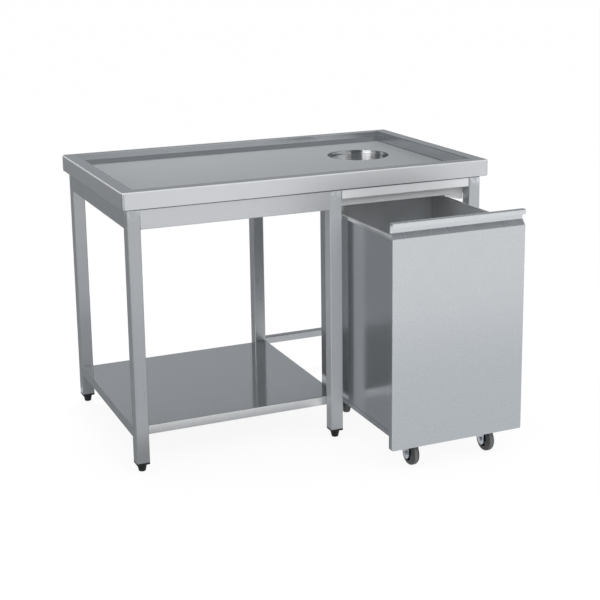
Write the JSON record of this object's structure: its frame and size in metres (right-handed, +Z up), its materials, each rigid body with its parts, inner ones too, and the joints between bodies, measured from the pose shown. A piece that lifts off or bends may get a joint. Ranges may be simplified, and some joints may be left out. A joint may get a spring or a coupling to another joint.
{
  "type": "soiled dish table",
  "caption": "Stainless soiled dish table with a sunk tray, a round scrap chute, an open undershelf and a waste bin trolley on swivel casters that rolls under the chute.",
  "frame": {"origin": "on the floor, at the centre of the footprint of the table together with the trolley where the picture shows it, partly pulled out", "axes": "+X to the right seen from the front, +Y to the back, +Z up"},
  "size_m": [1.2, 1.056, 0.85],
  "materials": {
    "sheet": "brushed along each sheet, satin",
    "tube": "brushed along the tube, satin",
    "bin_sheet": "mill finish with a soft shine",
    "polished": "polished, spun",
    "zinc": "bright zinc plate",
    "black_plastic": "matt moulded",
    "tyre": "matt grey rubber",
    "board": "plain board, sealed"
  },
  "bodies": {
    "table": {"worktop": "sheet", "backing_board": "board", "chute": "polished", "front_apron": "sheet", "left_apron": "sheet", "mid_apron": "sheet", "right_apron": "sheet", "rear_apron_left": "sheet", "rear_apron_right": "sheet", "bay_rail": "sheet", "bay_crossmember": "sheet", "bay_keeper_left": "sheet", "bay_keeper_right": "sheet", "rear_stretcher": "tube", "right_stretcher": "tube", "undershelf": "sheet", "shelf_stiffener": "sheet", "shelf_screws": "zinc", "leg_plugs": "black_plastic", "leg_front_left": "tube", "leg_rear_left": "tube", "leg_front_mid": "tube", "leg_rear_mid": "tube", "leg_front_right": "tube", "leg_rear_right": "tube"},
    "bin": {"bin_body": "bin_sheet", "bin_base": "bin_sheet", "bin_front": "sheet", "panel_spacer_left": "sheet", "panel_spacer_right": "sheet", "caster_bolts": "zinc", "caster_plate_front_left": "zinc", "caster_plate_front_right": "zinc", "caster_plate_rear_left": "zinc", "caster_plate_rear_right": "zinc"},
    "foot_front_left": {"foot_front_left": "black_plastic"},
    "foot_rear_left": {"foot_rear_left": "black_plastic"},
    "foot_front_mid": {"foot_front_mid": "black_plastic"},
    "foot_rear_mid": {"foot_rear_mid": "black_plastic"},
    "foot_front_right": {"foot_front_right": "black_plastic"},
    "foot_rear_right": {"foot_rear_right": "black_plastic"},
    "swivel_front_left": {"caster_fork_front_left": "zinc", "caster_axle_front_left": "zinc"},
    "wheel_front_left": {"caster_tyre_front_left": "tyre", "caster_hub_front_left": "black_plastic"},
    "swivel_front_right": {"caster_fork_front_right": "zinc", "caster_axle_front_right": "zinc"},
    "wheel_front_right": {"caster_tyre_front_right": "tyre", "caster_hub_front_right": "black_plastic"},
    "swivel_rear_left": {"caster_fork_rear_left": "zinc", "caster_axle_rear_left": "zinc"},
    "wheel_rear_left": {"caster_tyre_rear_left": "tyre", "caster_hub_rear_left": "black_plastic"},
    "swivel_rear_right": {"caster_fork_rear_right": "zinc", "caster_axle_rear_right": "zinc"},
    "wheel_rear_right": {"caster_tyre_rear_right": "tyre", "caster_hub_rear_right": "black_plastic"}
  },
  "joints": [
    {"name": "bin_slide", "type": "slide", "parent": "table", "child": "bin", "axis": [0, 1, 0], "range_m": [-0.25, 0.351]},
    {"name": "foot_front_left_screw", "type": "slide", "parent": "table", "child": "foot_front_left", "axis": [0, 0, -1], "range_m": [0, 0.02]},
    {"name": "foot_rear_left_screw", "type": "slide", "parent": "table", "child": "foot_rear_left", "axis": [0, 0, -1], "range_m": [0, 0.02]},
    {"name": "foot_front_mid_screw", "type": "slide", "parent": "table", "child": "foot_front_mid", "axis": [0, 0, -1], "range_m": [0, 0.02]},
    {"name": "foot_rear_mid_screw", "type": "slide", "parent": "table", "child": "foot_rear_mid", "axis": [0, 0, -1], "range_m": [0, 0.02]},
    {"name": "foot_front_right_screw", "type": "slide", "parent": "table", "child": "foot_front_right", "axis": [0, 0, -1], "range_m": [0, 0.02]},
    {"name": "foot_rear_right_screw", "type": "slide", "parent": "table", "child": "foot_rear_right", "axis": [0, 0, -1], "range_m": [0, 0.02]},
    {"name": "swivel_front_left_turn", "type": "hinge", "parent": "bin", "child": "swivel_front_left", "pos_m": [0.1805, -0.445, 0.09], "axis": [0, 0, 1], "continuous": true},
    {"name": "wheel_front_left_spin", "type": "hinge", "parent": "swivel_front_left", "child": "wheel_front_left", "pos_m": [0.1805, -0.473, 0.0375], "axis": [1, 0, 0], "continuous": true},
    {"name": "swivel_front_right_turn", "type": "hinge", "parent": "bin", "child": "swivel_front_right", "pos_m": [0.4385, -0.445, 0.09], "axis": [0, 0, 1], "continuous": true},
    {"name": "wheel_front_right_spin", "type": "hinge", "parent": "swivel_front_right", "child": "wheel_front_right", "pos_m": [0.4385, -0.473, 0.0375], "axis": [1, 0, 0], "continuous": true},
    {"name": "swivel_rear_left_turn", "type": "hinge", "parent": "bin", "child": "swivel_rear_left", "pos_m": [0.1805, -0.027, 0.09], "axis": [0, 0, 1], "continuous": true},
    {"name": "wheel_rear_left_spin", "type": "hinge", "parent": "swivel_rear_left", "child": "wheel_rear_left", "pos_m": [0.19008, -0.00069, 0.0375], "axis": [-0.9397, 0.342, 0], "continuous": true},
    {"name": "swivel_rear_right_turn", "type": "hinge", "parent": "bin", "child": "swivel_rear_right", "pos_m": [0.4385, -0.027, 0.09], "axis": [0, 0, 1], "continuous": true},
    {"name": "wheel_rear_right_spin", "type": "hinge", "parent": "swivel_rear_right", "child": "wheel_rear_right", "pos_m": [0.44808, -0.00069, 0.0375], "axis": [-0.9397, 0.342, 0], "continuous": true}
  ]
}
